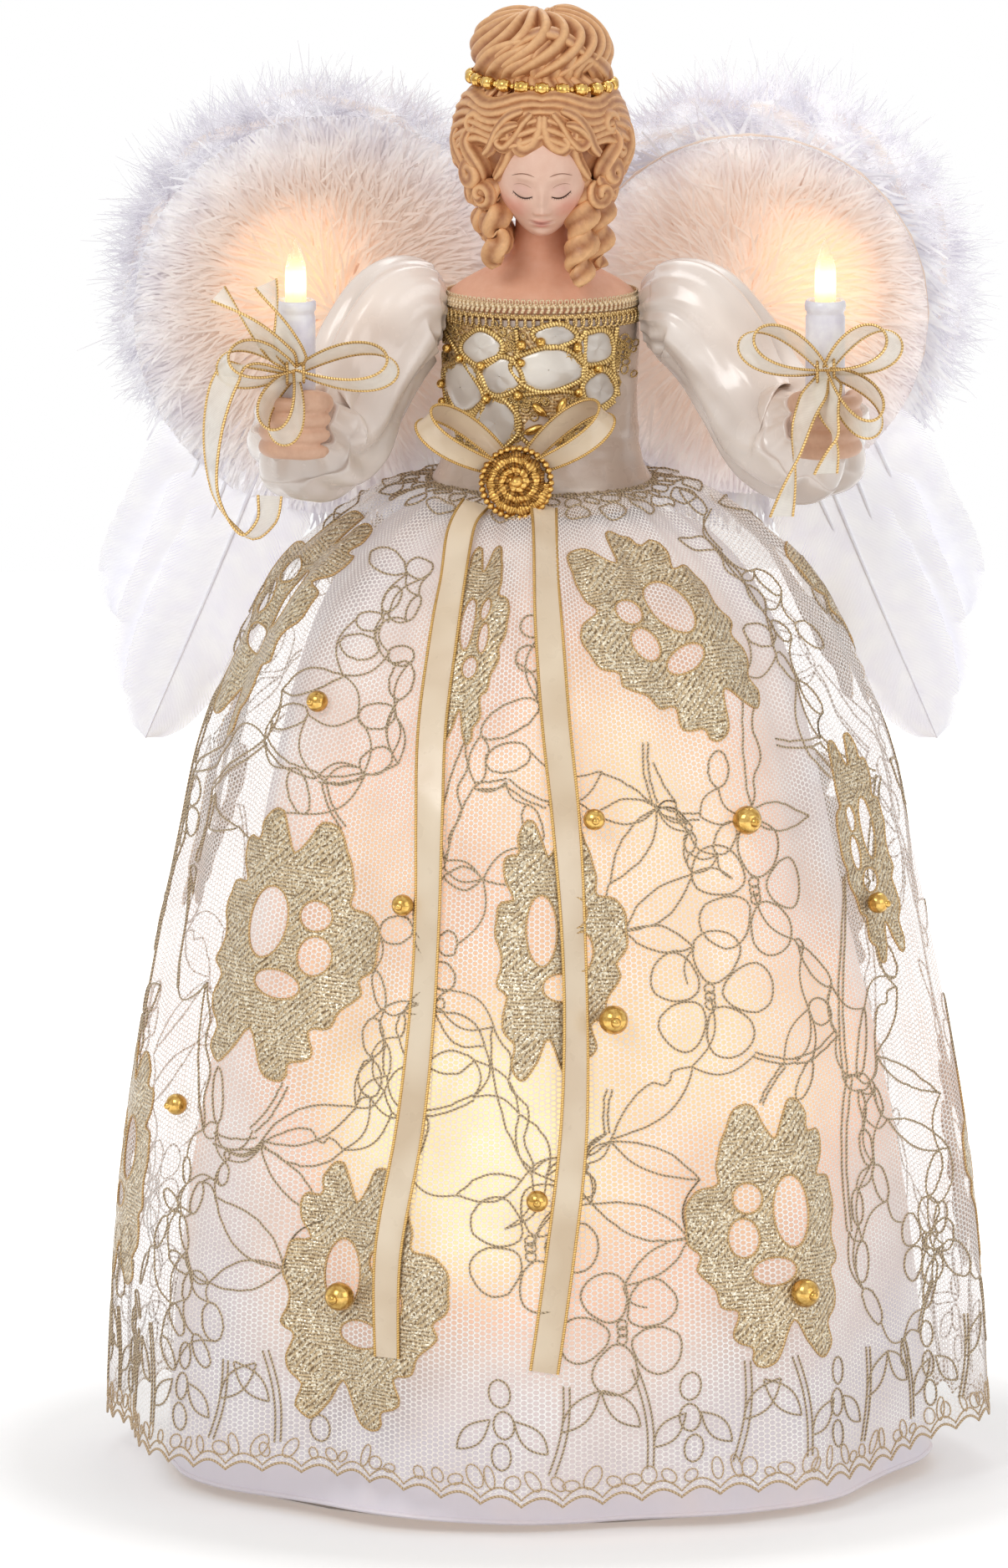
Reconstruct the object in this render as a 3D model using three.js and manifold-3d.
import * as THREE from 'three';
import { mergeVertices } from 'three/addons/utils/BufferGeometryUtils.js';
import Module from 'manifold-3d';

const wasm = await Module();
wasm.setup();

// An angel for the top of a tree. Her skirts hide a hollow cone that slides down over the top branch.
// Millimetres, +Z up, front towards -Y. The origin is the centre of the cone's base rim.

// Fits
const fit = 0.3; // gap left between pieces that touch
const weldReach = 0.0001; // vertices closer than this are one
const sliverReach = 0.02; // slivers thinner than this are merged after a cut or a join
const overrun = 2; // how far a cutting tool passes the face that it cuts

// Tree cone
const coneHeight = 246;
const coneHemInset = 18; // how far the cone's base stays inside the underskirt's hem
const coneTopRadius = 17;
const coneWall = 1.8;
const coneRimWidth = 5;
const coneRimHeight = 2.4;
const coneNeckRadius = 11;
const coneNeckHeight = 14;

// Lamps in two rings round the cone, and the candle lamps
const lowerLampHeight = 88;
const upperLampHeight = 158;
const lampSocketRadius = 4.2;
const lampSocketLength = 14;
const lampCollarRadius = 6;
const lampCollarHeight = 1.2;
const lampBoreDepth = 9;
const bulbPlugRadius = 2.6;
const bulbGlassRadius = 2.9;
const bulbGlassLength = 18;
const bulbTipLength = 6;
const wireRadius = 1.2;
const wireEntryHeight = 8;

// Torso and bodice
const waistRise = 18; // rises are measured from the top of the cone
const chestRise = 65;
const hipHalfWidth = 20;
const waistHalfWidth = 23.2;
const chestHalfWidth = 24.4;
const bodiceThickness = 2.2;
const bodiceBottomRise = 22.5;
const bodiceTopRise = 74.7;
const braidHeight = 4.6;
const braidThickness = 2.6;

// Bust
const shoulderTopRise = 88;
const neckRadius = 7.4;
const headHeight = 36;
const headWidth = 28;
const headDepth = 34;
const headCentreRise = 117.5;
const headCentreForward = 13;
const headTilt = THREE.MathUtils.degToRad(16);
const hairHalfWidth = 23.6;
const hairHalfDepth = 21.5;
const hairHalfHeight = 20.5;
const hairCentreRise = 127;
const hairCentreForward = 6;
const bunHalfWidth = 18.4;
const bunHalfDepth = 17;
const bunHalfHeight = 12;
const bunLift = 21; // from the centre of the hair to the centre of the bun
const bunCentreForward = 2;
const curlRadius = 3.4;
const ringletRadius = 2.9;
const ringletSway = 1.4;
const ringletPitch = 8;
const headbandLift = 13.5; // above the centre of the hair
const headbandHalfWidth = 19.4;
const headbandHalfDepth = 17.8;
const headbandForward = 5;
const headbandBeadRadius = 1.9;
const headbandLinkRadius = 0.9;
const headbandRoom = 0.9;

// Skirts
const fabricThickness = 0.8;
const underskirtTopRise = 20;
const underskirtHemHeight = 2.5;
const underskirtHemInset = 13.5; // inside the hem of the lace
const underskirtWaistFold = 0.4;
const underskirtHemFold = 4.5;
const underskirtHemWave = 1.2;
const laceTopRise = 28;
const laceHemHeight = 9.5;
const laceHemRadius = 119.5;
const laceWaistFold = 0.5;
const laceHemFold = 5;
const laceHemWave = 3;
const laceFrontDip = 28; // the front sinks by up to about a seventh of this

// Waist bow, rosette and the beads sewn on the lace
const ribbonWidth = 7.5;
const ribbonThickness = 0.6;
const bowCentreRise = 34;
const bowCentreAside = -7;
const bowKnotHeight = 8;
const bowKnotWidth = 9;
const bowKnotDepth = 14;
const bowLoopLength = 31;
const bowLoopOpening = 9;
const tailLift = 0.5;
const tailStepShare = 0.0628; // a step aside of the tails, as a share of the hem radius of the lace
const rosetteRadius = 9.5;
const rosetteThickness = 5;
const rosetteDrop = 1.5; // below the centre of the bow
const rosetteRidge = 0.9;
const rosetteTurns = 3;
const rosetteTilt = THREE.MathUtils.degToRad(14);
const largeBeadRadius = 4;
const smallBeadRadius = 3;

// Bodice applique
const appliqueTopRise = 71;
const appliqueBottomRise = 42;
const appliqueCordRadius = 0.8;
const appliqueBeadRadius = 1.4;

// Wings
const wingCentreRise = 69;
const wingCentreAside = 57;
const wingPlateRadius = 50;
const wingPlateThickness = 1.6;
const wingPlateBack = 33;
const wingTabHeight = 14;
const wingTabGap = 1;
const wingPanelRadius = 44;
const featherThickness = 1.2;
const featherLength = 118;
const featherWidth = 30;
const featherCamber = 1.6;
const featherSweep = 24;
const fluffRadius = 17.5;
const bracketHalfWidth = 11;
const bracketBottomRise = 46;
const bracketTopRise = 66;

// Arms
const armPivotAside = 28.2;
const armPivotRise = 74;
const armWireRadius = 1.1;
const armWireSeat = 0.6; // how far the wire reaches in past its pivot
const leftCandleAside = 67;
const rightCandleAside = 77;
const candleForward = 55;
const handDrop = 22; // drops of the hand, candle and bow are measured from the pivot
const sleeveRadius = 17;
const sleeveFabric = 1;
const fingerRadius = 2.2;
const palmHalfWidth = 8.6;
const palmHalfDepth = 7.4;
const palmHalfHeight = 9.6;
const wristRadius = 4.6;
const wristLength = 15;
const wristInset = 1.2;
const wristDrop = 1;
const candleRadius = 5.4;
const candleBottomDrop = 31;
const candleTopRise = 12; // above the pivot
const candleBoreRadius = 4.3;
const candleBoreDepth = 24;
const candleSocketRadius = 3.9;
const candleSocketLength = 22;
const candleGlassLength = 19;
const handBowDrop = 6.5;
const handBowKnotSize = 5;
const handBowRibbonWidth = 9;
const handBowLoopLength = 27;
const handBowLoopOpening = 10;
const handBowTailLength = 34;
const handBowTailWave = 1.8;

// Radii and heights that follow from the sizes above
const underskirtHemRadius = laceHemRadius - underskirtHemInset;
const coneBaseRadius = underskirtHemRadius - coneHemInset;
const tailStep = laceHemRadius * tailStepShare;
const waistHeight = coneHeight + waistRise;
const chestHeight = coneHeight + chestRise;
const bodiceBottomHeight = coneHeight + bodiceBottomRise;
const bodiceTopHeight = coneHeight + bodiceTopRise;
const shoulderTopHeight = coneHeight + shoulderTopRise;
const headCentreHeight = coneHeight + headCentreRise;
const hairCentreHeight = coneHeight + hairCentreRise;
const bunCentreHeight = hairCentreHeight + bunLift;
const headbandHeight = hairCentreHeight + headbandLift;
const underskirtTopHeight = coneHeight + underskirtTopRise;
const laceTopHeight = coneHeight + laceTopRise;
const bowCentreHeight = coneHeight + bowCentreRise;
const rosetteCentreHeight = bowCentreHeight - rosetteDrop;
const appliqueTopHeight = coneHeight + appliqueTopRise;
const appliqueBottomHeight = coneHeight + appliqueBottomRise;
const wingCentreHeight = coneHeight + wingCentreRise;
const bracketBottomHeight = coneHeight + bracketBottomRise;
const bracketTopHeight = coneHeight + bracketTopRise;
const armPivotHeight = coneHeight + armPivotRise;
const handHeight = armPivotHeight - handDrop;
const candleBottomHeight = armPivotHeight - candleBottomDrop;
const candleTopHeight = armPivotHeight + candleTopRise;
const handBowHeight = armPivotHeight - handBowDrop;

// Finishes
const finish = (color, roughness, metalness = 0) =>
  new THREE.MeshStandardMaterial({ color, roughness, metalness });
const frostedPlastic = finish('#f3f0e8', 0.5);
const whitePlastic = finish('#f6f4ee', 0.35);
const clearGlass = finish('#fff1c9', 0.08);
const wireCover = finish('#e9e6d8', 0.5);
const steelWire = finish('#b9bcc0', 0.35, 0.9);
const paintedResin = finish('#e6b898', 0.5);
const ivorySatin = finish('#f3ead9', 0.4);
const ivoryLace = finish('#efe2c6', 0.8);
const goldTrim = finish('#b8893a', 0.35, 0.9);
const goldBead = finish('#c8952c', 0.2, 1);
const ivoryRibbon = finish('#eadfba', 0.45);
const organza = finish('#f4ecd6', 0.5);
const whiteCard = finish('#f7f5f0', 0.7);
const whiteFeather = finish('#fbf9f5', 0.85);

// Rounds of points for each kind of form, and the fine steps used to measure on cloth
const coneSegments = 28;
const lampSegments = 8;
const candleSegments = 14;
const torsoSegments = 24;
const laceColumns = 36;
const underskirtColumns = 28;
const wireSides = 6;
const curlSides = 5;
const sleeveSides = 12;
const beadSegments = 8;
const palmColumns = 10;
const palmRows = 7;

const quarterTurn = Math.PI / 2;
const frontTurn = -quarterTurn;
const fullTurn = 2 * Math.PI;
const lastOf = (list) => list[list.length - 1];
const mix = (from, to, share) => from + (to - from) * share;

// Indices 0 to count - 1
const range = (count) => Array.from({ length: count }, (_, index) => index);

// Shared vertices are merged, faces that fell flat are dropped, and the rest are turned outwards.
function closedSurface(geometry) {
  const bare = geometry.clone();
  bare.deleteAttribute('normal');
  bare.deleteAttribute('uv');
  const merged = mergeVertices(bare, weldReach);
  const place = merged.attributes.position;
  const faces = [];
  const corners = [new THREE.Vector3(), new THREE.Vector3(), new THREE.Vector3()];
  let volume = 0;
  for (let start = 0; start < merged.index.count; start += corners.length) {
    const face = corners.map((_, step) => merged.index.getX(start + step));
    if (new Set(face).size < corners.length) continue;
    face.forEach((index, step) => corners[step].fromBufferAttribute(place, index));
    volume += corners[0].dot(corners[1].clone().cross(corners[2]));
    faces.push(face);
  }
  const outward = volume < 0 ? faces.map((face) => face.toReversed()) : faces;
  return { vertProperties: place.array, triVerts: new Uint32Array(outward.flat()) };
}

function solidOf(geometry) {
  return new wasm.Manifold(new wasm.Mesh({ numProp: 3, ...closedSurface(geometry) }));
}

function geometryOf(solid) {
  const { vertProperties, triVerts } = solid.getMesh();
  const geometry = new THREE.BufferGeometry();
  geometry.setAttribute('position', new THREE.BufferAttribute(vertProperties, 3));
  geometry.setIndex(new THREE.BufferAttribute(triVerts, 1));
  geometry.computeVertexNormals();
  return geometry;
}

const joined = (geometries) => geometryOf(
  geometries.map(solidOf).reduce((whole, next) => whole.add(next)).setTolerance(sliverReach));

const cutBy = (geometry, tools) => geometryOf(tools.map(solidOf)
  .reduce((whole, tool) => whole.subtract(tool), solidOf(geometry)).setTolerance(sliverReach));

// A body through a row of rings with as many points each. A loop joins the last ring to the first;
// otherwise each end is closed by a fan round its middle.
function loft(rings, loop = false) {
  const sides = rings[0].length;
  const points = rings.flat();
  const faces = [];
  const spans = loop ? rings.length : rings.length - 1;
  for (const row of range(spans)) {
    const next = (row + 1) % rings.length;
    for (const side of range(sides)) {
      const beside = (side + 1) % sides;
      const [a, b] = [row * sides + side, row * sides + beside];
      const [c, d] = [next * sides + side, next * sides + beside];
      faces.push(a, b, d, a, d, c);
    }
  }
  if (!loop) {
    for (const row of [0, rings.length - 1]) {
      const middle = new THREE.Vector3();
      rings[row].forEach((point) => middle.add(point));
      points.push(middle.divideScalar(sides));
      for (const side of range(sides)) {
        const edge = [row * sides + side, row * sides + ((side + 1) % sides)];
        if (row === 0) edge.reverse();
        faces.push(edge[0], edge[1], points.length - 1);
      }
    }
  }
  const geometry = new THREE.BufferGeometry().setFromPoints(points);
  geometry.setIndex(faces);
  return geometryOf(solidOf(geometry));
}

// A solid of revolution about Z; each point of the outline is [radius, height].
function turned(outline, segments) {
  const points = outline.map(([radius, height]) => new THREE.Vector2(radius, height));
  return geometryOf(solidOf(new THREE.LatheGeometry(points, segments).rotateX(quarterTurn)));
}

const ellipseRing = (height, halfWidth, halfDepth, segments, forward = 0) =>
  range(segments).map((step) => {
    const turn = (step / segments) * fullTurn;
    return new THREE.Vector3(halfWidth * Math.cos(turn), halfDepth * Math.sin(turn) - forward, height);
  });

// Directions across a path at each of its points, carried along without twist.
function pathFrames(points, loop) {
  const count = points.length;
  const tangents = points.map((_, step) => {
    const before = loop ? points[(step + count - 1) % count] : points[Math.max(step - 1, 0)];
    const after = loop ? points[(step + 1) % count] : points[Math.min(step + 1, count - 1)];
    return after.clone().sub(before).normalize();
  });
  const start = Math.abs(tangents[0].z) < Math.SQRT1_2
    ? new THREE.Vector3(0, 0, 1) : new THREE.Vector3(0, 1, 0);
  const across = [];
  for (const tangent of tangents) {
    const carried = (lastOf(across) ?? start).clone();
    across.push(carried.addScaledVector(tangent, -carried.dot(tangent)).normalize());
  }
  return across.map((side, step) => [side, tangents[step].clone().cross(side)]);
}

// A round tube through points; its radius may change from point to point.
function tube(points, radii, sides, loop = false) {
  const frames = pathFrames(points, loop);
  return loft(points.map((point, step) => range(sides).map((side) => {
    const turn = (side / sides) * fullTurn;
    const radius = Array.isArray(radii) ? radii[step] : radii;
    return point.clone()
      .addScaledVector(frames[step][0], radius * Math.cos(turn))
      .addScaledVector(frames[step][1], radius * Math.sin(turn));
  })), loop);
}

// A flat ribbon along points; each width direction lies across it, and its width may change.
function band(points, widthDirections, widths, thickness) {
  const rings = points.map((point, step) => {
    const before = points[Math.max(step - 1, 0)];
    const after = points[Math.min(step + 1, points.length - 1)];
    const along = after.clone().sub(before).normalize();
    const given = widthDirections[Math.min(step, widthDirections.length - 1)];
    const wide = given.clone().addScaledVector(along, -given.dot(along)).normalize();
    const thick = along.clone().cross(wide);
    const width = Array.isArray(widths) ? widths[step] : widths;
    return [[1, 1], [-1, 1], [-1, -1], [1, -1]].map(([edge, face]) => point.clone()
      .addScaledVector(wide, (edge * width) / 2)
      .addScaledVector(thick, (face * thickness) / 2));
  });
  return loft(rings);
}

// A ball shaped by a function of its unit direction; rows and columns set its fineness.
function modelledBall(columns, rows, shape) {
  const geometry = new THREE.SphereGeometry(1, columns, rows).rotateX(quarterTurn);
  const place = geometry.attributes.position;
  const direction = new THREE.Vector3();
  for (const index of range(place.count)) {
    const point = shape(direction.fromBufferAttribute(place, index).clone());
    place.setXYZ(index, point.x, point.y, point.z);
  }
  return geometryOf(solidOf(geometry));
}

const swell = (offset, reach) => Math.exp(-((offset / reach) ** 2));

// The moulded cone: a flat rim to stand on, a plain neck for the torso and a hole for each lamp.
const coneSlope = (coneBaseRadius - coneTopRadius) / coneHeight;
const coneLean = Math.atan(coneSlope);
const coneRadiusAt = (height) => coneBaseRadius - coneSlope * height;
const lampTurnShares = [0.235, 0.485, 0.735, 0.985];
const upperLampTurnShare = 0.13;
const lamps = [
  ...lampTurnShares.map((share) => ({ height: lowerLampHeight, turn: share * fullTurn })),
  ...lampTurnShares.map((share) =>
    ({ height: upperLampHeight, turn: (share + upperLampTurnShare) * fullTurn })),
];

// Moves a piece made upright on the origin to stand square on the cone's wall at a lamp's place.
function atLamp(geometry, lamp) {
  const radius = coneRadiusAt(lamp.height);
  return geometry.clone()
    .rotateY(quarterTurn - coneLean)
    .translate(radius, 0, lamp.height)
    .rotateZ(lamp.turn);
}

function makeTreeCone() {
  const rimRadius = coneBaseRadius + coneRimWidth;
  const neckTop = coneHeight + coneNeckHeight;
  const shell = turned([
    [rimRadius, 0],
    [rimRadius, coneRimHeight],
    [coneRadiusAt(coneRimHeight), coneRimHeight],
    [coneTopRadius, coneHeight],
    [coneNeckRadius, coneHeight],
    [coneNeckRadius, neckTop],
    [coneNeckRadius - coneWall, neckTop],
    [coneNeckRadius - coneWall, coneHeight - coneWall],
    [coneRadiusAt(coneHeight - coneWall) - coneWall, coneHeight - coneWall],
    [coneBaseRadius - coneWall, 0],
    [rimRadius, 0],
  ], coneSegments);
  const drill = new THREE.CylinderGeometry(
    lampSocketRadius + fit, lampSocketRadius + fit, (coneWall + overrun) * 2, lampSegments)
    .rotateX(quarterTurn);
  return cutBy(shell, lamps.map((lamp) => atLamp(drill, lamp)));
}

function makeLampSocket() {
  const collarTop = fit + lampCollarHeight;
  return turned([
    [0, -lampSocketLength],
    [lampSocketRadius, -lampSocketLength],
    [lampSocketRadius, fit],
    [lampCollarRadius, fit],
    [lampCollarRadius, collarTop],
    [bulbPlugRadius + fit, collarTop],
    [bulbPlugRadius + fit, collarTop - lampBoreDepth],
    [0, collarTop - lampBoreDepth],
  ], lampSegments);
}

// A push-in bulb: a plug, then a glass tube drawn to a point. Its glass begins at height zero.
function makeBulb(glassLength) {
  return turned([
    [0, fit - lampBoreDepth],
    [bulbPlugRadius, fit - lampBoreDepth],
    [bulbPlugRadius, fit],
    [bulbGlassRadius, fit],
    [bulbGlassRadius, glassLength - bulbTipLength],
    [bulbGlassRadius / 2, glassLength - bulbTipLength / 3],
    [0, glassLength],
  ], lampSegments);
}

// The lamp lead climbs the back of the cone, rounds the lower ring and then the upper one,
// and touches the tail of each socket on its way.
const wireClimbShares = [0, 0.25, 0.5, 0.75];
const wireStepTurn = fullTurn / 20;

function makeLightWire() {
  const behindTail = lampSocketLength + fit + wireRadius;
  const ring = (height) => ({
    radius: coneRadiusAt(height) - behindTail * Math.cos(coneLean),
    height: height - behindTail * Math.sin(coneLean),
  });
  const [lower, upper] = [ring(lowerLampHeight), ring(upperLampHeight)];
  const lowerStart = lamps[1].turn;
  const upperStart = lamps[4].turn + fullTurn;
  const sweepTurn = lamps[3].turn - lamps[0].turn;
  const stepsRound = Math.round(sweepTurn / wireStepTurn);
  const stops = [];
  const entryRadius = coneRadiusAt(wireEntryHeight) - coneWall - fit - wireRadius * 2;
  for (const share of wireClimbShares) {
    stops.push([mix(entryRadius, lower.radius, share), mix(wireEntryHeight, lower.height, share),
      lowerStart - wireStepTurn * 2 * (1 - share)]);
  }
  for (const step of range(stepsRound + 1)) {
    stops.push([lower.radius, lower.height, lowerStart + (sweepTurn * step) / stepsRound]);
  }
  const climbTurn = upperStart - lowerStart - sweepTurn;
  for (const share of wireClimbShares.slice(1)) {
    stops.push([mix(lower.radius, upper.radius, share), mix(lower.height, upper.height, share),
      lowerStart + sweepTurn + climbTurn * share]);
  }
  for (const step of range(stepsRound + 1)) {
    stops.push([upper.radius, upper.height, upperStart + (sweepTurn * step) / stepsRound]);
  }
  const points = stops.map(([radius, height, turn]) =>
    new THREE.Vector3(radius * Math.cos(turn), radius * Math.sin(turn), height));
  return tube(points, wireRadius, wireSides);
}

// Half-width of the torso at a height; its depth is a share of that.
const torsoDepthShare = 0.74;
const torsoBottomHeight = coneHeight + fit;

function torsoHalfWidth(height) {
  if (height < waistHeight) {
    const share = (height - torsoBottomHeight) / (waistHeight - torsoBottomHeight);
    return mix(hipHalfWidth, waistHalfWidth, share);
  }
  const share = (height - waistHeight) / (chestHeight - waistHeight);
  return mix(waistHalfWidth, chestHalfWidth, Math.min(share, 1));
}

const torsoRing = (height, offset) => ellipseRing(height, torsoHalfWidth(height) + offset,
  torsoHalfWidth(height) * torsoDepthShare + offset, torsoSegments);

// A point on the torso's skin: turn from the front, height, and distance out from the core.
function onTorso(turn, height, offset) {
  const halfWidth = torsoHalfWidth(height);
  return new THREE.Vector3((halfWidth + offset) * Math.sin(turn),
    -(halfWidth * torsoDepthShare + offset) * Math.cos(turn), height);
}

function makeTorsoCore() {
  const heights = [torsoBottomHeight, waistHeight, (waistHeight + chestHeight) / 2, chestHeight];
  const block = loft(heights.map((height) => torsoRing(height, 0)));
  const neckRoom = coneNeckRadius + fit;
  const boreDepth = coneNeckHeight + fit;
  const bore = new THREE.CylinderGeometry(neckRoom, neckRoom, boreDepth + overrun, candleSegments * 2)
    .rotateX(quarterTurn)
    .translate(0, 0, torsoBottomHeight + (boreDepth - overrun) / 2);
  return cutBy(block, [bore]);
}

const bodiceInside = fit;
const bodiceOutside = bodiceInside + bodiceThickness;

function makeBodice() {
  const heights = [bodiceBottomHeight, (bodiceBottomHeight + chestHeight) / 2, chestHeight, bodiceTopHeight];
  const outer = heights.map((height) => torsoRing(height, bodiceOutside));
  const inner = heights.map((height) => torsoRing(height, bodiceInside)).toReversed();
  return loft([...outer, ...inner], true);
}

// The gimp braid sits on the bodice's top edge; small scallops run all the way round it.
const braidSectionShares = [[0, 0], [0.8, 0], [1, 0.5], [0.8, 1], [0, 1]];
const braidScallopShare = 0.16;

function makeNecklineBraid() {
  const bottom = bodiceTopHeight + fit;
  return loft(range(torsoSegments * 2).map((step) => {
    const turn = (step / (torsoSegments * 2)) * fullTurn;
    const scallop = step % 2 ? 1 : 1 - braidScallopShare;
    return braidSectionShares.map(([outShare, upShare]) => onTorso(turn, bottom + braidHeight * upShare,
      bodiceInside + braidThickness * outShare * scallop));
  }), true);
}

// Ovals of cord that meet like petals, in two rows across the front of the bodice, and a bead
// where they join. Places are shares of the half-span and of the height, then the oval's half-sizes.
const appliqueSpan = THREE.MathUtils.degToRad(58);
const appliqueOvalShares = [
  [-0.76, 0.73, 0.21, 0.22], [-0.27, 0.75, 0.28, 0.23], [0.28, 0.74, 0.27, 0.22], [0.76, 0.72, 0.21, 0.22],
  [-0.58, 0.28, 0.29, 0.22], [-0.02, 0.29, 0.27, 0.22], [0.57, 0.28, 0.32, 0.22],
];
const appliqueBeadShares = [
  [-0.55, 0.75], [0.01, 0.76], [0.55, 0.75], [-0.3, 0.51], [0.3, 0.51], [-0.72, 0.5], [0.74, 0.5],
  [-0.29, 0.26], [0.26, 0.26],
];
const appliqueOvalSteps = 9;
const cordSides = 3;

function makeBodiceApplique() {
  const tall = appliqueTopHeight - appliqueBottomHeight;
  const skin = bodiceOutside + fit;
  const on = (turnShare, upShare, offset) =>
    onTorso(turnShare * appliqueSpan, appliqueBottomHeight + tall * upShare, skin + offset);
  const cords = appliqueOvalShares.map(([turnShare, upShare, wideShare, tallShare]) => {
    const points = range(appliqueOvalSteps).map((step) => {
      const turn = (step / appliqueOvalSteps) * fullTurn;
      return on(turnShare + wideShare * Math.cos(turn), upShare + tallShare * Math.sin(turn),
        appliqueCordRadius);
    });
    return tube(points, appliqueCordRadius, cordSides, true);
  });
  const beads = appliqueBeadShares.map(([turnShare, upShare]) => {
    const place = on(turnShare, upShare, appliqueBeadRadius);
    return new THREE.OctahedronGeometry(appliqueBeadRadius).translate(place.x, place.y, place.z);
  });
  return joined([...cords, ...beads]);
}

// Shoulder plate and neck: share of the height, of the chest's half-width and of its depth, and how
// far forward of the axis, as a share of the neck's radius
const shoulderShares = [
  [0, 0.97, 0.95, 0], [0.35, 0.99, 0.96, 0], [0.62, 0.94, 0.86, 0], [0.82, 0.72, 0.7, 0.2],
  [0.95, 0.44, 0.5, 0.5], [1.12, 0.31, 0.42, 0.8], [1.6, 0.3, 0.4, 1.3],
];

const shoulderSegments = 18;

function makeShoulders() {
  const bottom = chestHeight + fit;
  const tall = shoulderTopHeight - bottom;
  const deep = chestHalfWidth * torsoDepthShare;
  return loft(shoulderShares.map(([upShare, wideShare, deepShare, forwardShare]) =>
    ellipseRing(bottom + tall * upShare, chestHalfWidth * wideShare, deep * deepShare,
      shoulderSegments, neckRadius * forwardShare)));
}

// The face is an ideal one on even proportions: eyes halfway up the head, small nose and mouth.
// Each feature: place across and up on the unit head, its reach both ways, and its relief
const faceFeatureShares = [
  [0, -0.34, 0.1, 0.12, 0.16], [0, -0.12, 0.07, 0.2, 0.07], [0, -0.58, 0.17, 0.05, 0.045],
  [0, -0.66, 0.14, 0.05, 0.035], [0, -0.86, 0.22, 0.12, 0.05], [0.33, -0.02, 0.17, 0.09, -0.06],
  [-0.33, -0.02, 0.17, 0.09, -0.06], [0.33, 0.12, 0.25, 0.07, 0.02], [-0.33, 0.12, 0.25, 0.07, 0.02],
  [0.44, -0.34, 0.2, 0.2, 0.035], [-0.44, -0.34, 0.2, 0.2, 0.035],
];
const jawTaperShare = 0.3;
const headColumns = 20;
const headRows = 15;

function makeHead() {
  const ball = modelledBall(headColumns, headRows, (way) => {
    const facing = Math.max(-way.y, 0);
    const relief = faceFeatureShares.reduce((sum, [aside, up, wideReach, tallReach, height]) =>
      sum + height * facing * swell(way.x - aside, wideReach) * swell(way.z - up, tallReach), 0);
    const jaw = 1 - jawTaperShare * Math.max(-way.z, 0) ** 2;
    return new THREE.Vector3((way.x * jaw * headWidth) / 2, (way.y * (1 + relief) * headDepth) / 2,
      (way.z * headHeight) / 2);
  });
  return ball.rotateX(headTilt).translate(0, -headCentreForward, headCentreHeight);
}

// Combed hair: shallow waves that sweep back from the parting, and a bun wound like a spiral.
const hairWaveShare = 0.045;
const hairWaveCount = 9;
const hairWaveLean = 2;
const bunWaveShare = 0.05;
const bunWaveCount = 3;
const bunSwirl = 5;
const hairColumns = 22;
const hairRows = 10;
const bunColumns = 16;
const bunRows = 7;

function makeHairCap() {
  return modelledBall(hairColumns, hairRows, (way) => {
    const turn = Math.atan2(way.x, -way.y);
    const wave = 1 + hairWaveShare * Math.cos(hairWaveCount * Math.abs(turn) + hairWaveLean * way.z);
    return new THREE.Vector3(way.x * wave * hairHalfWidth, way.y * wave * hairHalfDepth - hairCentreForward,
      way.z * hairHalfHeight + hairCentreHeight);
  });
}

function makeBun() {
  return modelledBall(bunColumns, bunRows, (way) => {
    const turn = Math.atan2(way.y, way.x);
    const wave = 1 + bunWaveShare * Math.cos(bunWaveCount * turn + bunSwirl * way.z);
    return new THREE.Vector3(way.x * wave * bunHalfWidth, way.y * wave * bunHalfDepth - bunCentreForward,
      way.z * bunHalfHeight + bunCentreHeight);
  });
}

// Side curls and the ringlets that fall to the shoulders: side, and place as shares of the hair's size
const sideCurlShares = [[0.84, 0.56, -0.1], [0.88, 0.36, -0.42], [0.76, 0.56, -0.6]];
const ringletShares = [
  [-1, 0.58, 0.5, 3.1], [-1, 0.76, 0.2, 2.6], [1, 0.56, 0.52, 4], [1, 0.76, 0.22, 3.4],
];
const ringletTopShare = 0.5;
const ringletStepsEachTurn = 3;
const curlTurns = 1.3;
const curlSteps = 6;

function makeSideCurl(side, [asideShare, forwardShare, upShare]) {
  const centre = new THREE.Vector3(side * hairHalfWidth * asideShare,
    -hairCentreForward - hairHalfDepth * forwardShare, hairCentreHeight + hairHalfHeight * upShare);
  const points = range(curlSteps).map((step) => {
    const share = step / (curlSteps - 1);
    const turn = share * curlTurns * fullTurn;
    const reach = curlRadius * (1 - share / 2);
    return new THREE.Vector3(side * (share - 1) * curlRadius, reach * Math.cos(turn), reach * Math.sin(turn))
      .add(centre);
  });
  return tube(points, curlRadius / 2, curlSides);
}

// A ringlet narrows between the turns of its coil, and its middle sways round the coil.
function makeRinglet([side, asideShare, forwardShare, turns]) {
  const steps = Math.round(turns * ringletStepsEachTurn);
  const top = hairCentreHeight - hairHalfHeight * ringletTopShare;
  const points = range(steps + 1).map((step) => {
    const turn = (step / ringletStepsEachTurn) * fullTurn;
    return new THREE.Vector3(
      side * (hairHalfWidth * asideShare + ringletSway * Math.cos(turn)),
      -hairCentreForward - hairHalfDepth * forwardShare + ringletSway * Math.sin(turn),
      top - (ringletPitch * step) / ringletStepsEachTurn);
  });
  const radii = points.map((_, step) => (step === steps ? ringletRadius / 2 : ringletRadius));
  return tube(points, radii, curlSides);
}

const headbandBeads = 22;
const grooveSteps = 18;
const headbandShapeShares = [0, 1, 1, 0];
const headbandSpacingShares = [0.08, 0.3, 0.7, 0.92];

function headbandPoint(turn) {
  return new THREE.Vector3(headbandHalfWidth * Math.cos(turn),
    headbandHalfDepth * Math.sin(turn) - headbandForward, headbandHeight);
}

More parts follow.
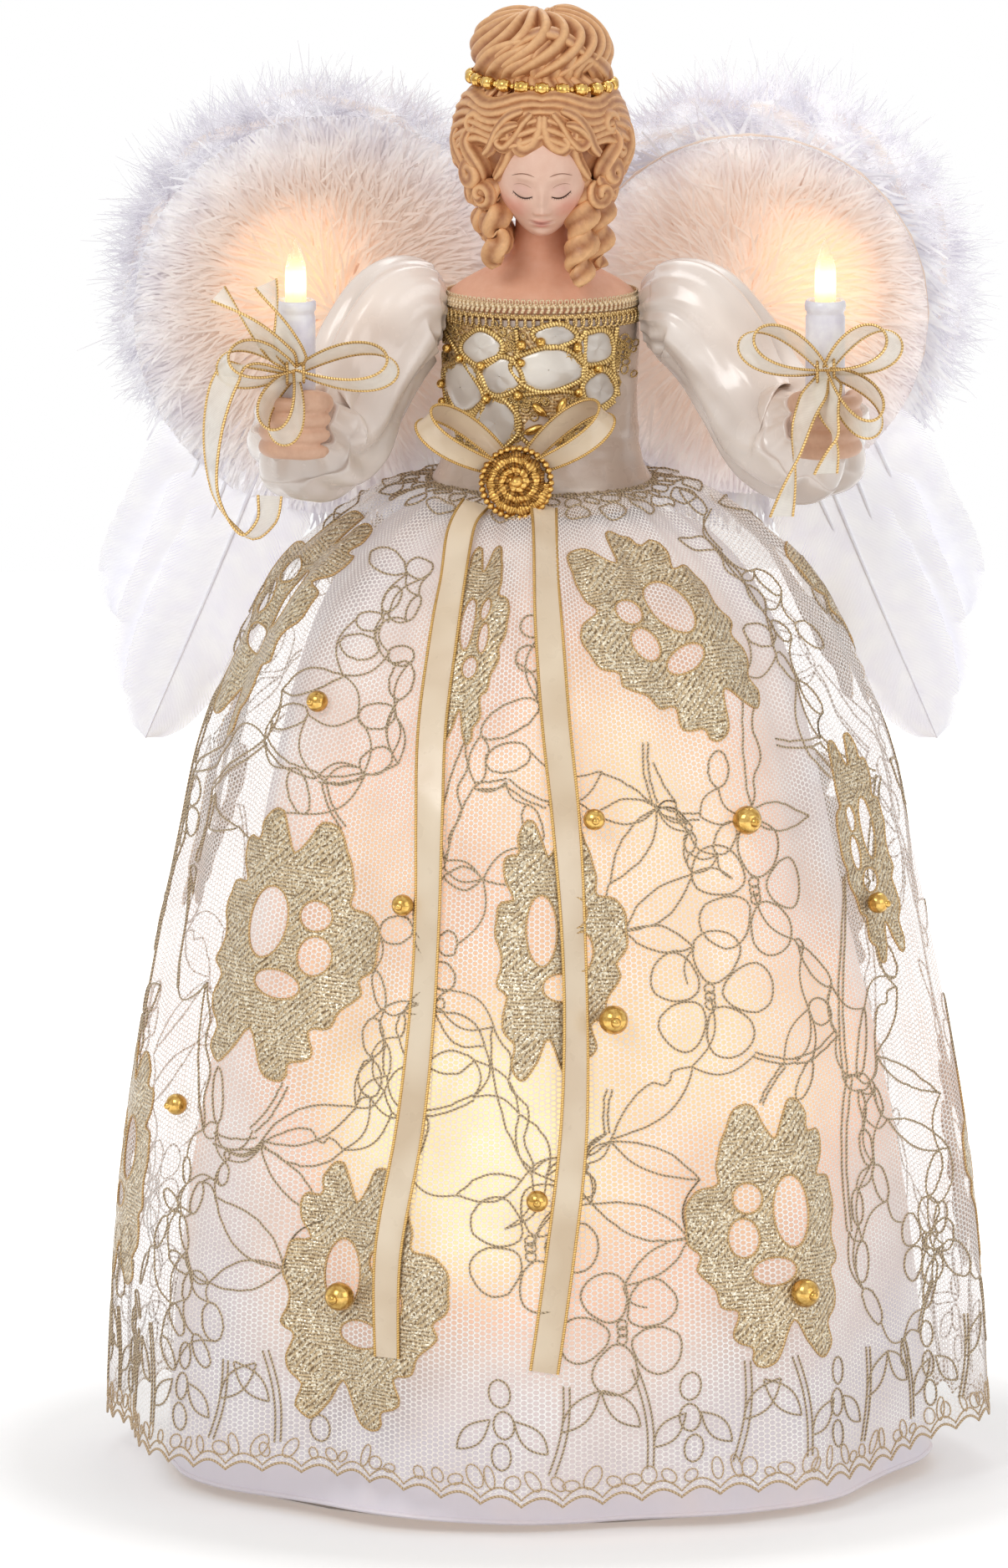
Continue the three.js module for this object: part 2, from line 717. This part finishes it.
function makeHeadband() {
  const points = [];
  const radii = [];
  for (const bead of range(headbandBeads)) {
    headbandShapeShares.forEach((shapeShare, step) => {
      points.push(headbandPoint(((bead + headbandSpacingShares[step]) / headbandBeads) * fullTurn));
      radii.push(mix(headbandLinkRadius, headbandBeadRadius, shapeShare));
    });
  }
  return tube(points, radii, curlSides, true);
}

function makeBust() {
  const sides = [-1, 1];
  const curls = sides.flatMap((side) => sideCurlShares.map((shares) => makeSideCurl(side, shares)));
  const figure = joined([makeShoulders(), makeHead(), makeHairCap(), makeBun(), ...curls,
    ...ringletShares.map(makeRinglet)]);
  const groovePoints = range(grooveSteps).map((step) => headbandPoint((step / grooveSteps) * fullTurn));
  const groove = tube(groovePoints, headbandBeadRadius + headbandRoom, cordSides + 1, true);
  return cutBy(figure, [groove]);
}

// A skirt is a thin shell turned about the axis. Its outline goes from waist to hem in shares of its
// spread and of its drop, and its folds move it in and out along its own normal.
const underskirt = {
  outlineShares: [[0, 0], [0.145, 0.008], [0.265, 0.027], [0.41, 0.08], [0.53, 0.167], [0.627, 0.288],
    [0.711, 0.421], [0.82, 0.562], [0.904, 0.698], [0.964, 0.85], [1, 1]],
  foldShares: [[7, 0.6, 0.4], [4, 0.4, 2.1]],
  waistRadius: torsoHalfWidth(underskirtTopHeight) + fit + fabricThickness,
  waistSquash: torsoHalfWidth(underskirtTopHeight) * (1 - torsoDepthShare),
  hemRadius: underskirtHemRadius,
  topHeight: underskirtTopHeight,
  hemHeight: underskirtHemHeight,
  waistFold: underskirtWaistFold,
  hemFold: underskirtHemFold,
  hemWave: underskirtHemWave,
  frontDip: 0,
  columns: underskirtColumns,
};
const laceOverskirt = {
  outlineShares: [[0, 0], [0.13, 0.004], [0.234, 0.021], [0.37, 0.058], [0.503, 0.106], [0.633, 0.196],
    [0.727, 0.287], [0.785, 0.385], [0.853, 0.498], [0.911, 0.619], [0.958, 0.747], [0.986, 0.883], [1, 1]],
  foldShares: [[8, 0.6, 1.1], [5, 0.4, 0.3]],
  waistRadius: torsoHalfWidth(laceTopHeight) + bodiceOutside + fit + fabricThickness,
  waistSquash: torsoHalfWidth(laceTopHeight) * (1 - torsoDepthShare),
  hemRadius: laceHemRadius,
  topHeight: laceTopHeight,
  hemHeight: laceHemHeight,
  waistFold: laceWaistFold,
  hemFold: laceHemFold,
  hemWave: laceHemWave,
  frontDip: laceFrontDip,
  columns: laceColumns,
};
const hemWaveShares = [[3, 0.6, 0.5], [7, 0.4, 2]];
const waves = (turn, shares) =>
  shares.reduce((sum, [count, share, lead]) => sum + share * Math.cos(count * turn + lead), 0);

// Spread, drop, fold depth and the way across the cloth at one station of the outline
function skirtStation(skirt, station) {
  const last = skirt.outlineShares.length - 1;
  const spread = (index) => skirt.waistRadius
    + (skirt.hemRadius - skirt.waistRadius) * skirt.outlineShares[index][0];
  const height = (index) => mix(skirt.topHeight, skirt.hemHeight, skirt.outlineShares[index][1]);
  const [before, after] = [Math.max(station - 1, 0), Math.min(station + 1, last)];
  const along = new THREE.Vector2(spread(after) - spread(before), height(after) - height(before)).normalize();
  const outward = station === 0 ? new THREE.Vector2(1, 0) : new THREE.Vector2(-along.y, along.x);
  const share = station / last;
  return { radius: spread(station), height: height(station), share, outward };
}

function skirtPoint(skirt, turn, station, depth) {
  const { radius, height, share, outward } = skirtStation(skirt, station);
  const fold = mix(skirt.waistFold, skirt.hemFold, share) * waves(turn, skirt.foldShares) + depth;
  const dip = skirt.frontDip * (1 - share) ** 2 * share * Math.max(-Math.sin(turn), 0);
  const hem = skirt.hemWave * share ** 6 * (1 + waves(turn, hemWaveShares));
  const settled = station === 0 ? depth : fold;
  const out = radius + outward.x * settled;
  const squash = skirt.waistSquash * (1 - share) ** 3;
  return new THREE.Vector3(out * Math.cos(turn), (out - squash) * Math.sin(turn),
    height + outward.y * settled - dip + hem);
}

function makeSkirt(skirt) {
  const stations = range(skirt.outlineShares.length);
  return loft(range(skirt.columns).map((column) => {
    const turn = (column / skirt.columns) * fullTurn;
    const outer = stations.map((station) => skirtPoint(skirt, turn, station, 0));
    const inner = stations.map((station) => skirtPoint(skirt, turn, station, -fabricThickness));
    return [...outer, ...inner.toReversed()];
  }), true);
}

const laceProbe = 0.3;
const probeShares = [-1, -0.5, 0, 0.5, 1];

// A point on the lace as it is faceted; column and station may lie between two of its own.
function onLace(column, station) {
  const [low, left] = [Math.floor(station), Math.floor(column)];
  const last = laceOverskirt.outlineShares.length - 1;
  const corner = (col, row) =>
    skirtPoint(laceOverskirt, (col / laceColumns) * fullTurn, Math.min(row, last), 0);
  const lower = corner(left, low).lerp(corner(left + 1, low), column - left);
  const upper = corner(left, low + 1).lerp(corner(left + 1, low + 1), column - left);
  return lower.lerp(upper, station - low);
}

// The station of the lace at a height, found along one column
function laceStation(column, height) {
  let [above, below] = [1, laceOverskirt.outlineShares.length - 1];
  while (below - above > weldReach) {
    const middle = (above + below) / 2;
    if (onLace(column, middle).z > height) above = middle;
    else below = middle;
  }
  return above;
}

const columnOf = (turn) => ((turn / fullTurn) * laceColumns + laceColumns) % laceColumns;

// The way straight out of the lace at a place
function laceOutward(column, station) {
  const across = onLace(column + laceProbe, station).sub(onLace(column - laceProbe, station));
  const down = onLace(column, station + laceProbe).sub(onLace(column, station - laceProbe));
  return down.cross(across).normalize();
}

// A place over the lace, far enough out that a disc of that radius clears every fold under it
function overLace(column, station, reach, lift) {
  const spot = onLace(column, station);
  const outward = laceOutward(column, station);
  const columnWidth = (Math.hypot(spot.x, spot.y) * fullTurn) / laceColumns;
  const stationLength = onLace(column, station + laceProbe).distanceTo(onLace(column, station)) / laceProbe;
  const rises = probeShares.flatMap((aside) => probeShares.map((down) => onLace(
    column + (aside * reach) / columnWidth,
    Math.max(station + (down * reach) / stationLength, 0)).sub(spot).dot(outward)));
  return { place: spot.addScaledVector(outward, Math.max(...rises) + lift), outward };
}

// Beads sewn on the lace: share of a turn from the front, share of the drop, and which bead
const skirtBeadShares = [
  [-0.123, 0.2, smallBeadRadius], [0.023, 0.3, smallBeadRadius], [0.094, 0.31, largeBeadRadius],
  [-0.061, 0.39, smallBeadRadius], [0.178, 0.42, smallBeadRadius], [0.028, 0.5, largeBeadRadius],
  [-0.162, 0.62, smallBeadRadius], [-0.002, 0.68, smallBeadRadius], [-0.078, 0.79, largeBeadRadius],
  [0.1, 0.79, largeBeadRadius],
];

function makeSkirtBead([turnShare, dropShare, radius]) {
  const column = columnOf(frontTurn + turnShare * fullTurn);
  const station = laceStation(column, mix(laceTopHeight, laceHemHeight, dropShare));
  const { place } = overLace(column, station, radius / 2, fit + radius);
  const ball = new THREE.SphereGeometry(radius, beadSegments, beadSegments / 2);
  return geometryOf(solidOf(ball.translate(place.x, place.y, place.z)));
}

// One loop of a bow: a teardrop from the knot out along a direction and back, open at its root.
// The ribbon is gathered where the knot holds it.
const loopSteps = 10;
const gatherShare = 0.35;

function bowLoop(start, along, across, { length, opening, width }) {
  const points = range(loopSteps + 1).map((step) => {
    const turn = (step / loopSteps) * fullTurn;
    const out = (length * (1 - Math.cos(turn))) / 2;
    const belly = (opening / 2) * Math.sin(turn) * Math.sin(turn / 2);
    const root = ribbonThickness * Math.cos(turn / 2);
    return start.clone().addScaledVector(along, out).addScaledVector(across, belly + root);
  });
  const widths = points.map((_, step) =>
    width * mix(gatherShare, 1, Math.sin((step / loopSteps) * Math.PI)));
  return band(points, [along.clone().cross(across)], widths, ribbonThickness);
}

// Ribbon tails: station of the lace outline, and how many steps aside
const leftTailShares = [
  [1.05, -2.1], [2, -2.7], [3, -3.1], [4, -3.5], [5, -3.95], [6, -4.08], [7, -4.2], [8, -4.45], [9, -4.9],
  [10, -5.7], [10.8, -5.8],
];
const rightTailShares = [
  [1.05, 0.05], [2, 0.1], [3, 0.15], [4, 0.25], [5, 0.5], [6, 0.85], [7, 1.1], [8, 1.22], [9, 1.1],
  [10, 0.6], [10.8, 0.07],
];
const tailStepsShare = 0.5;
const bowLoopShares = [[-0.83, -0.2, 0.56], [0.8, -0.15, 0.6]];
const bowLoopTilt = 0.6;

// Where a list of [key, value] shares stands at a key between two of its own
function between(shares, key) {
  const next = Math.max(shares.findIndex(([mark]) => mark >= key), 1);
  const [low, high] = [shares[next - 1], shares[next]];
  return mix(low[1], high[1], (key - low[0]) / (high[0] - low[0]));
}

function makeTail(shares, knotCentre) {
  const [first, last] = [shares[0][0], lastOf(shares)[0]];
  const count = Math.round((last - first) / tailStepsShare);
  const points = [];
  const ways = [];
  for (const step of range(count + 1)) {
    const station = mix(first, last, step / count);
    const aside = between(shares, station) * tailStep;
    const front = onLace(columnOf(frontTurn), station);
    const column = columnOf(frontTurn + Math.asin(aside / Math.hypot(front.x, front.y)));
    const lift = fit + tailLift + ribbonThickness / 2;
    const { place, outward } = overLace(column, station, ribbonWidth / 2, lift);
    points.push(place);
    ways.push(new THREE.Vector3(0, 0, 1).cross(outward).normalize());
  }
  return band([knotCentre, ...points], [ways[0], ...ways], ribbonWidth, ribbonThickness);
}

function makeWaistBow() {
  const bodiceFront = -onTorso(0, bowCentreHeight, bodiceOutside + fit).y;
  const knotFront = bodiceFront + bowKnotDepth;
  const knot = new THREE.BoxGeometry(bowKnotWidth, bowKnotDepth, bowKnotHeight)
    .translate(bowCentreAside, -bodiceFront - bowKnotDepth / 2, bowCentreHeight);
  const root = new THREE.Vector3(bowCentreAside, -knotFront + ribbonWidth / 2, bowCentreHeight);
  const loops = bowLoopShares.map((shares) => {
    const along = new THREE.Vector3(...shares).normalize();
    const across = new THREE.Vector3(-along.z, 0, along.x).normalize();
    across.y = bowLoopTilt * Math.sign(along.x);
    const start = root.clone().addScaledVector(along, bowKnotHeight / 4);
    return bowLoop(start, along, across.normalize(),
      { length: bowLoopLength, opening: bowLoopOpening, width: ribbonWidth });
  });
  const tails = [leftTailShares, rightTailShares].map((shares) => makeTail(shares, root));
  return joined([knot, ...loops, ...tails]);
}

// The rosette is gold cord wound in a spiral; its ridges rise and fall with the winding.
const rosetteColumns = 22;
const rosetteRows = 10;
const rosetteBackShare = 0.2;

function makeRosette() {
  const ball = modelledBall(rosetteColumns, rosetteRows, (way) => {
    const winding = Math.atan2(way.y, way.x) + rosetteTurns * fullTurn * Math.hypot(way.x, way.y);
    const front = rosetteThickness * way.z + rosetteRidge * Math.cos(winding) * way.z;
    const depth = way.z > 0 ? front : rosetteThickness * rosetteBackShare * way.z;
    return new THREE.Vector3(way.x * rosetteRadius, way.y * rosetteRadius, depth);
  });
  const knotFront = -onTorso(0, bowCentreHeight, bodiceOutside + fit).y + bowKnotDepth;
  const lean = rosetteRadius * Math.sin(rosetteTilt);
  const forward = knotFront + fit + rosetteThickness * rosetteBackShare + lean;
  return ball.rotateX(quarterTurn - rosetteTilt).translate(bowCentreAside, -forward, rosetteCentreHeight);
}

// Wings. All are made for the right side and mirrored for the left.
const wingPlateFront = wingPlateBack - wingPlateThickness;
const wingEdgeSteps = 28;

function disc(radius, thickness, back, segments) {
  return new THREE.CylinderGeometry(radius, radius, thickness, segments)
    .translate(0, back - thickness / 2, 0)
    .translate(wingCentreAside, 0, wingCentreHeight);
}

function makeWingPlate() {
  const reach = wingCentreAside;
  const tab = new THREE.BoxGeometry(reach - wingTabGap, wingPlateThickness, wingTabHeight)
    .translate((reach + wingTabGap) / 2, wingPlateBack - wingPlateThickness / 2,
      (bracketBottomHeight + bracketTopHeight) / 2);
  return joined([disc(wingPlateRadius, wingPlateThickness, wingPlateBack, wingEdgeSteps), tab]);
}

// Marabou trim: one thick fluffy cord that follows the plate's edge, thinner at both ends
const fluffStart = THREE.MathUtils.degToRad(142);
const fluffEnd = THREE.MathUtils.degToRad(-34);
const fluffSteps = 14;
const fluffSides = 9;
const fluffEndShare = 0.45;
const fluffTuftShare = 0.06;

function makeWingFluff() {
  const points = [];
  const radii = [];
  for (const step of range(fluffSteps + 1)) {
    const share = step / fluffSteps;
    const turn = mix(fluffStart, fluffEnd, share);
    const radius = fluffRadius * mix(fluffEndShare, 1, Math.sqrt(Math.sin(share * Math.PI)))
      * (1 + fluffTuftShare * (step % 2));
    points.push(new THREE.Vector3(wingCentreAside + wingPlateRadius * Math.cos(turn),
      wingPlateBack + fit + radius, wingCentreHeight + wingPlateRadius * Math.sin(turn)));
    radii.push(radius);
  }
  return tube(points, radii, fluffSides);
}

// One feather: a thin vane, arched across, rounded at the tip and narrow at the quill. Past the
// card that carries it, it leans back round the skirt.
const vaneShares = [[0, 0.12], [0.1, 0.5], [0.3, 0.86], [0.55, 1], [0.78, 0.88], [0.92, 0.58], [1, 0.12]];
const featherBendShare = 0.54;

function makeFeather(base, along, length, width) {
  const across = new THREE.Vector3(-along.z, 0, along.x);
  const edges = [-1, 0, 1];
  return loft(vaneShares.map(([lengthShare, widthShare]) => {
    const back = featherSweep * Math.max(lengthShare - featherBendShare, 0) / (1 - featherBendShare);
    const middle = base.clone().addScaledVector(along, length * lengthShare);
    const ring = (depth) => edges.map((edge) => middle.clone()
      .addScaledVector(across, (edge * width * widthShare) / 2)
      .add(new THREE.Vector3(0, back + depth - (1 - edge ** 2) * featherCamber * widthShare, 0)));
    return [...ring(0), ...ring(featherThickness).toReversed()];
  }));
}

// Long feathers hang down and out from behind a round fan of short ones. Their roots are shares of
// the fan's radius from its middle; then the way down in degrees, and the share of the full length.
const longFeatherShares = [
  [0.08, -0.34, -66, 0.86], [0.2, -0.3, -68, 1], [0.38, -0.26, -69, 0.92], [0.5, -0.14, -66, 0.78],
];
const fanLobes = 12;
const fanLobeSteps = 3;
const fanLobeShare = 0.05;

function makeWingFeathers() {
  const back = wingPlateFront - fit;
  const centre = new THREE.Vector3(wingCentreAside, back - featherThickness, wingCentreHeight);
  const outline = new THREE.Shape(range(fanLobes * fanLobeSteps).map((step) => {
    const turn = (step / (fanLobes * fanLobeSteps)) * fullTurn;
    const lobe = 1 - fanLobeShare * Math.abs(Math.cos((turn * fanLobes) / 2));
    return new THREE.Vector2(Math.cos(turn), Math.sin(turn)).multiplyScalar(wingPanelRadius * lobe);
  }));
  const fan = new THREE.ExtrudeGeometry(outline, { depth: featherThickness * 2, bevelEnabled: false })
    .rotateX(quarterTurn)
    .translate(wingCentreAside, back, wingCentreHeight);
  const long = longFeatherShares.map(([asideShare, upShare, degrees, lengthShare]) => {
    const turn = THREE.MathUtils.degToRad(degrees);
    const base = centre.clone()
      .add(new THREE.Vector3(asideShare, 0, upShare).multiplyScalar(wingPanelRadius));
    return makeFeather(base, new THREE.Vector3(Math.cos(turn), 0, Math.sin(turn)),
      featherLength * lengthShare, featherWidth);
  });
  return joined([fan, ...long]);
}

function mirrored(geometry) {
  return geometryOf(solidOf(geometry.clone().scale(-1, 1, 1)));
}

function makeWingBracket() {
  const deep = wingPlateFront - fit;
  const tall = bracketTopHeight - bracketBottomHeight;
  const block = new THREE.BoxGeometry(bracketHalfWidth * 2, deep, tall)
    .translate(0, deep / 2, (bracketTopHeight + bracketBottomHeight) / 2);
  const body = loft([bracketBottomHeight - overrun, bracketTopHeight + overrun]
    .map((height) => torsoRing(height, bodiceOutside + fit)));
  return cutBy(block, [body]);
}

// Arms. The path of a sleeve runs from its armhole to the candle: shares of the reach aside, of the
// reach forward and of the drop, with the sleeve's radius as a share of its fullest
const sleeveShares = [
  [0.03, 0, 0, 0.16], [0.12, 0.02, 0, 0.55], [0.3, 0.08, 0, 0.82], [0.46, 0.15, 0.46, 0.84],
  [0.6, 0.25, 0.95, 0.82], [0.74, 0.38, 1.32, 0.92], [0.87, 0.48, 1.4, 1], [0.95, 0.57, 1.25, 0.92],
  [1, 0.69, 1.08, 0.62],
];

// Everything on an arm is placed from its pivot, so that the whole arm swings there.
function armSizes(side, candleAside) {
  const aside = candleAside - armPivotAside;
  return { side, aside, drop: armPivotHeight - handHeight,
    candle: new THREE.Vector3(side * aside, -candleForward, 0) };
}

function sleeveStations(arm) {
  return sleeveShares.map(([asideShare, forwardShare, dropShare, radiusShare]) => ({
    point: new THREE.Vector3(arm.side * arm.aside * asideShare, -candleForward * forwardShare,
      -arm.drop * dropShare),
    radius: sleeveRadius * radiusShare,
  }));
}

function makeSleeve(arm) {
  const stations = sleeveStations(arm);
  const points = stations.map(({ point }) => point);
  const frames = pathFrames(points, false);
  const rings = (inset) => stations.map(({ point, radius }, step) => range(sleeveSides).map((side) => {
    const turn = (side / sleeveSides) * fullTurn;
    const reach = Math.max(radius - inset, armWireRadius + fit);
    return point.clone()
      .addScaledVector(frames[step][0], reach * Math.cos(turn))
      .addScaledVector(frames[step][1], reach * Math.sin(turn));
  }));
  return loft([...rings(0), ...rings(sleeveFabric).toReversed()], true);
}

function makeArmWire(arm) {
  const points = sleeveStations(arm).map(({ point }) => point).slice(0, -1);
  const wrist = wristCentre(arm);
  const seat = new THREE.Vector3(-arm.side * armWireSeat, 0, 0);
  const route = [seat, ...points.slice(0, -2), wrist];
  return tube(route, armWireRadius, wireSides);
}

// Where the wire enters the wrist
function wristCentre(arm) {
  return new THREE.Vector3(arm.candle.x - arm.side * wristInset,
    arm.candle.y * (1 - wristLength / candleForward), -arm.drop - wristDrop);
}

const fingers = 4;
const fingerSectionSteps = 3;
const fingerStart = THREE.MathUtils.degToRad(20);
const fingerSweep = THREE.MathUtils.degToRad(210);
const fingerSteps = 6;
const fingerReachShare = 0.88;

// Four fingers closed round the candle, as one swept form with a crease between each two
function makeFingers(arm, middle) {
  const inside = candleRadius + fit;
  const fingerTall = (palmHalfHeight * 2 * fingerReachShare) / fingers;
  const bottom = middle.z - (fingerTall * fingers) / 2;
  const outline = range(fingers * fingerSectionSteps + 1).map((step) => {
    const round = Math.abs(Math.sin((step / fingerSectionSteps) * Math.PI));
    return [inside + fingerRadius * mix(1, 2, round), bottom + (fingerTall * step) / fingerSectionSteps];
  });
  const section = [[inside, lastOf(outline)[1]], [inside, outline[0][1]], ...outline];
  return loft(range(fingerSteps + 1).map((step) => {
    const turn = fingerStart - (fingerSweep * step) / fingerSteps;
    return section.map(([reach, height]) => new THREE.Vector3(
      middle.x + arm.side * reach * Math.cos(turn), middle.y + reach * Math.sin(turn), height));
  }));
}

function makeHand(arm) {
  const middle = new THREE.Vector3(arm.candle.x, arm.candle.y, -arm.drop);
  const palm = modelledBall(palmColumns, palmRows, (way) => new THREE.Vector3(way.x * palmHalfWidth,
    (way.y + 1 / 2) * palmHalfDepth, way.z * palmHalfHeight)).translate(...middle);
  const wrist = wristCentre(arm);
  const forearm = tube([wrist, middle.clone().lerp(wrist, 1 / 3)], wristRadius, beadSegments);
  const candleRoom = new THREE.CylinderGeometry(candleRadius + fit, candleRadius + fit,
    (palmHalfHeight + overrun) * 2, candleSegments).rotateX(quarterTurn).translate(...middle);
  const wireRoom = tube(
    [wrist.clone().lerp(middle, -1), wrist.clone().lerp(middle, 1 / 4)], armWireRadius + fit, wireSides);
  return cutBy(joined([palm, forearm, makeFingers(arm, middle)]), [candleRoom, wireRoom]);
}

function makeCandleSleeve() {
  const tall = candleTopHeight - candleBottomHeight;
  return turned([
    [0, 0], [candleRadius, 0], [candleRadius, tall], [candleBoreRadius, tall],
    [candleBoreRadius, tall - candleBoreDepth], [0, tall - candleBoreDepth],
  ], candleSegments);
}

function makeCandleSocket() {
  return turned([
    [0, 0], [candleSocketRadius, 0], [candleSocketRadius, candleSocketLength],
    [bulbPlugRadius + fit, candleSocketLength],
    [bulbPlugRadius + fit, candleSocketLength - lampBoreDepth],
    [0, candleSocketLength - lampBoreDepth],
  ], candleSegments);
}

// Organza bow tied round the candle: a ring, a knot in front of it, three loops and three loose ends
const handBowLoopShares = [[-0.85, -0.35, 0.3], [0.8, -0.3, 0.45], [0.3, -0.9, -0.25]];
const handBowTailShares = [[-0.75, -0.3, 0.75], [-0.1, -0.45, 0.9], [-0.6, -0.75, -0.55]];
const handBowTailSteps = 5;
const handBowCurl = 1.6;

function makeHandBow(arm) {
  const centre = new THREE.Vector3(arm.candle.x, arm.candle.y, handBowHeight - armPivotHeight);
  const halfTall = handBowRibbonWidth / 4;
  const ringInside = candleRadius + fit;
  const ringOutside = ringInside + ribbonThickness * 2;
  const ring = turned([
    [ringInside, -halfTall], [ringOutside, -halfTall], [ringOutside, halfTall], [ringInside, halfTall],
    [ringInside, -halfTall],
  ], candleSegments).translate(centre.x, centre.y, centre.z);
  const knotSize = handBowKnotSize;
  const root = centre.clone().add(new THREE.Vector3(0, -ringInside - knotSize / 2, 0));
  const knot = new THREE.BoxGeometry(knotSize, knotSize, knotSize).translate(root.x, root.y, root.z);
  const ways = (shares) => {
    const along = new THREE.Vector3(arm.side * shares[0], shares[1], shares[2]).normalize();
    const across = new THREE.Vector3(0, 1, 0).cross(along).normalize();
    return { along, across, start: root.clone().addScaledVector(along, knotSize / 3) };
  };
  const loops = handBowLoopShares.map((shares) => {
    const { along, across, start } = ways(shares);
    return bowLoop(start, along, across,
      { length: handBowLoopLength, opening: handBowLoopOpening, width: handBowRibbonWidth });
  });
  const tails = handBowTailShares.map((shares) => {
    const { along, across, start } = ways(shares);
    const points = range(handBowTailSteps).map((step) => start.clone()
      .addScaledVector(along, (handBowTailLength * step) / (handBowTailSteps - 1))
      .addScaledVector(across, handBowTailWave * Math.sin(step * handBowCurl)));
    const widths = points.map((_, step) =>
      handBowRibbonWidth * mix(gatherShare, 1, Math.min(step / 2, 1)));
    return band(points, [along.clone().cross(across)], widths, ribbonThickness);
  });
  return joined([ring, knot, ...loops, ...tails]);
}

// Assembly
const angel = new THREE.Group();

function add(parent, name, geometry, material, place = new THREE.Vector3()) {
  const mesh = new THREE.Mesh(geometry, material);
  mesh.name = name;
  mesh.position.copy(place);
  parent.add(mesh);
  return mesh;
}

add(angel, 'tree_cone', makeTreeCone(), frostedPlastic);
const lampSocket = makeLampSocket();
const lampBulb = makeBulb(bulbGlassLength).translate(0, 0, fit + lampCollarHeight);
lamps.forEach((lamp, index) => {
  add(angel, `light_socket_${index + 1}`, atLamp(lampSocket, lamp), whitePlastic);
  add(angel, `light_bulb_${index + 1}`, atLamp(lampBulb, lamp), clearGlass);
});
add(angel, 'light_wire', makeLightWire(), wireCover);
add(angel, 'torso_core', makeTorsoCore(), whitePlastic);
add(angel, 'bust', makeBust(), paintedResin);
add(angel, 'headband', makeHeadband(), goldBead);
add(angel, 'bodice', makeBodice(), ivorySatin);
add(angel, 'neckline_braid', makeNecklineBraid(), goldTrim);
add(angel, 'bodice_applique', makeBodiceApplique(), goldTrim);
add(angel, 'underskirt', makeSkirt(underskirt), ivorySatin);
add(angel, 'lace_overskirt', makeSkirt(laceOverskirt), ivoryLace);
skirtBeadShares.forEach((shares, index) => {
  add(angel, `skirt_bead_${index + 1}`, makeSkirtBead(shares), goldBead);
});
add(angel, 'waist_bow', makeWaistBow(), ivoryRibbon);
add(angel, 'rosette', makeRosette(), goldTrim);
add(angel, 'wing_bracket', makeWingBracket(), whitePlastic);

const wingPieces = [
  ['wing_plate', makeWingPlate(), whiteCard],
  ['wing_feathers', makeWingFeathers(), whiteFeather],
  ['wing_fluff', makeWingFluff(), whiteFeather],
];
for (const [name, geometry, material] of wingPieces) {
  add(angel, `${name}_right`, geometry, material);
  add(angel, `${name}_left`, mirrored(geometry), material);
}

for (const [label, side, candleAside] of [['left', -1, leftCandleAside], ['right', 1, rightCandleAside]]) {
  const arm = armSizes(side, candleAside);
  const shoulder = new THREE.Group();
  shoulder.position.set(side * armPivotAside, 0, armPivotHeight);
  angel.add(shoulder);
  const candleFoot = arm.candle.clone().setZ(candleBottomHeight - armPivotHeight);
  const socketFoot = arm.candle.clone()
    .setZ(candleTopHeight - candleBoreDepth + fit - armPivotHeight);
  const bulbSeat = socketFoot.clone().setZ(socketFoot.z + candleSocketLength);
  add(shoulder, `arm_wire_${label}`, makeArmWire(arm), steelWire);
  add(shoulder, `sleeve_${label}`, makeSleeve(arm), ivorySatin);
  add(shoulder, `hand_${label}`, makeHand(arm), paintedResin);
  add(shoulder, `candle_sleeve_${label}`, makeCandleSleeve(), whitePlastic, candleFoot);
  add(shoulder, `candle_socket_${label}`, makeCandleSocket(), whitePlastic, socketFoot);
  add(shoulder, `candle_bulb_${label}`, makeBulb(candleGlassLength), clearGlass, bulbSeat);
  add(shoulder, `hand_bow_${label}`, makeHandBow(arm), organza);
}

export default angel;
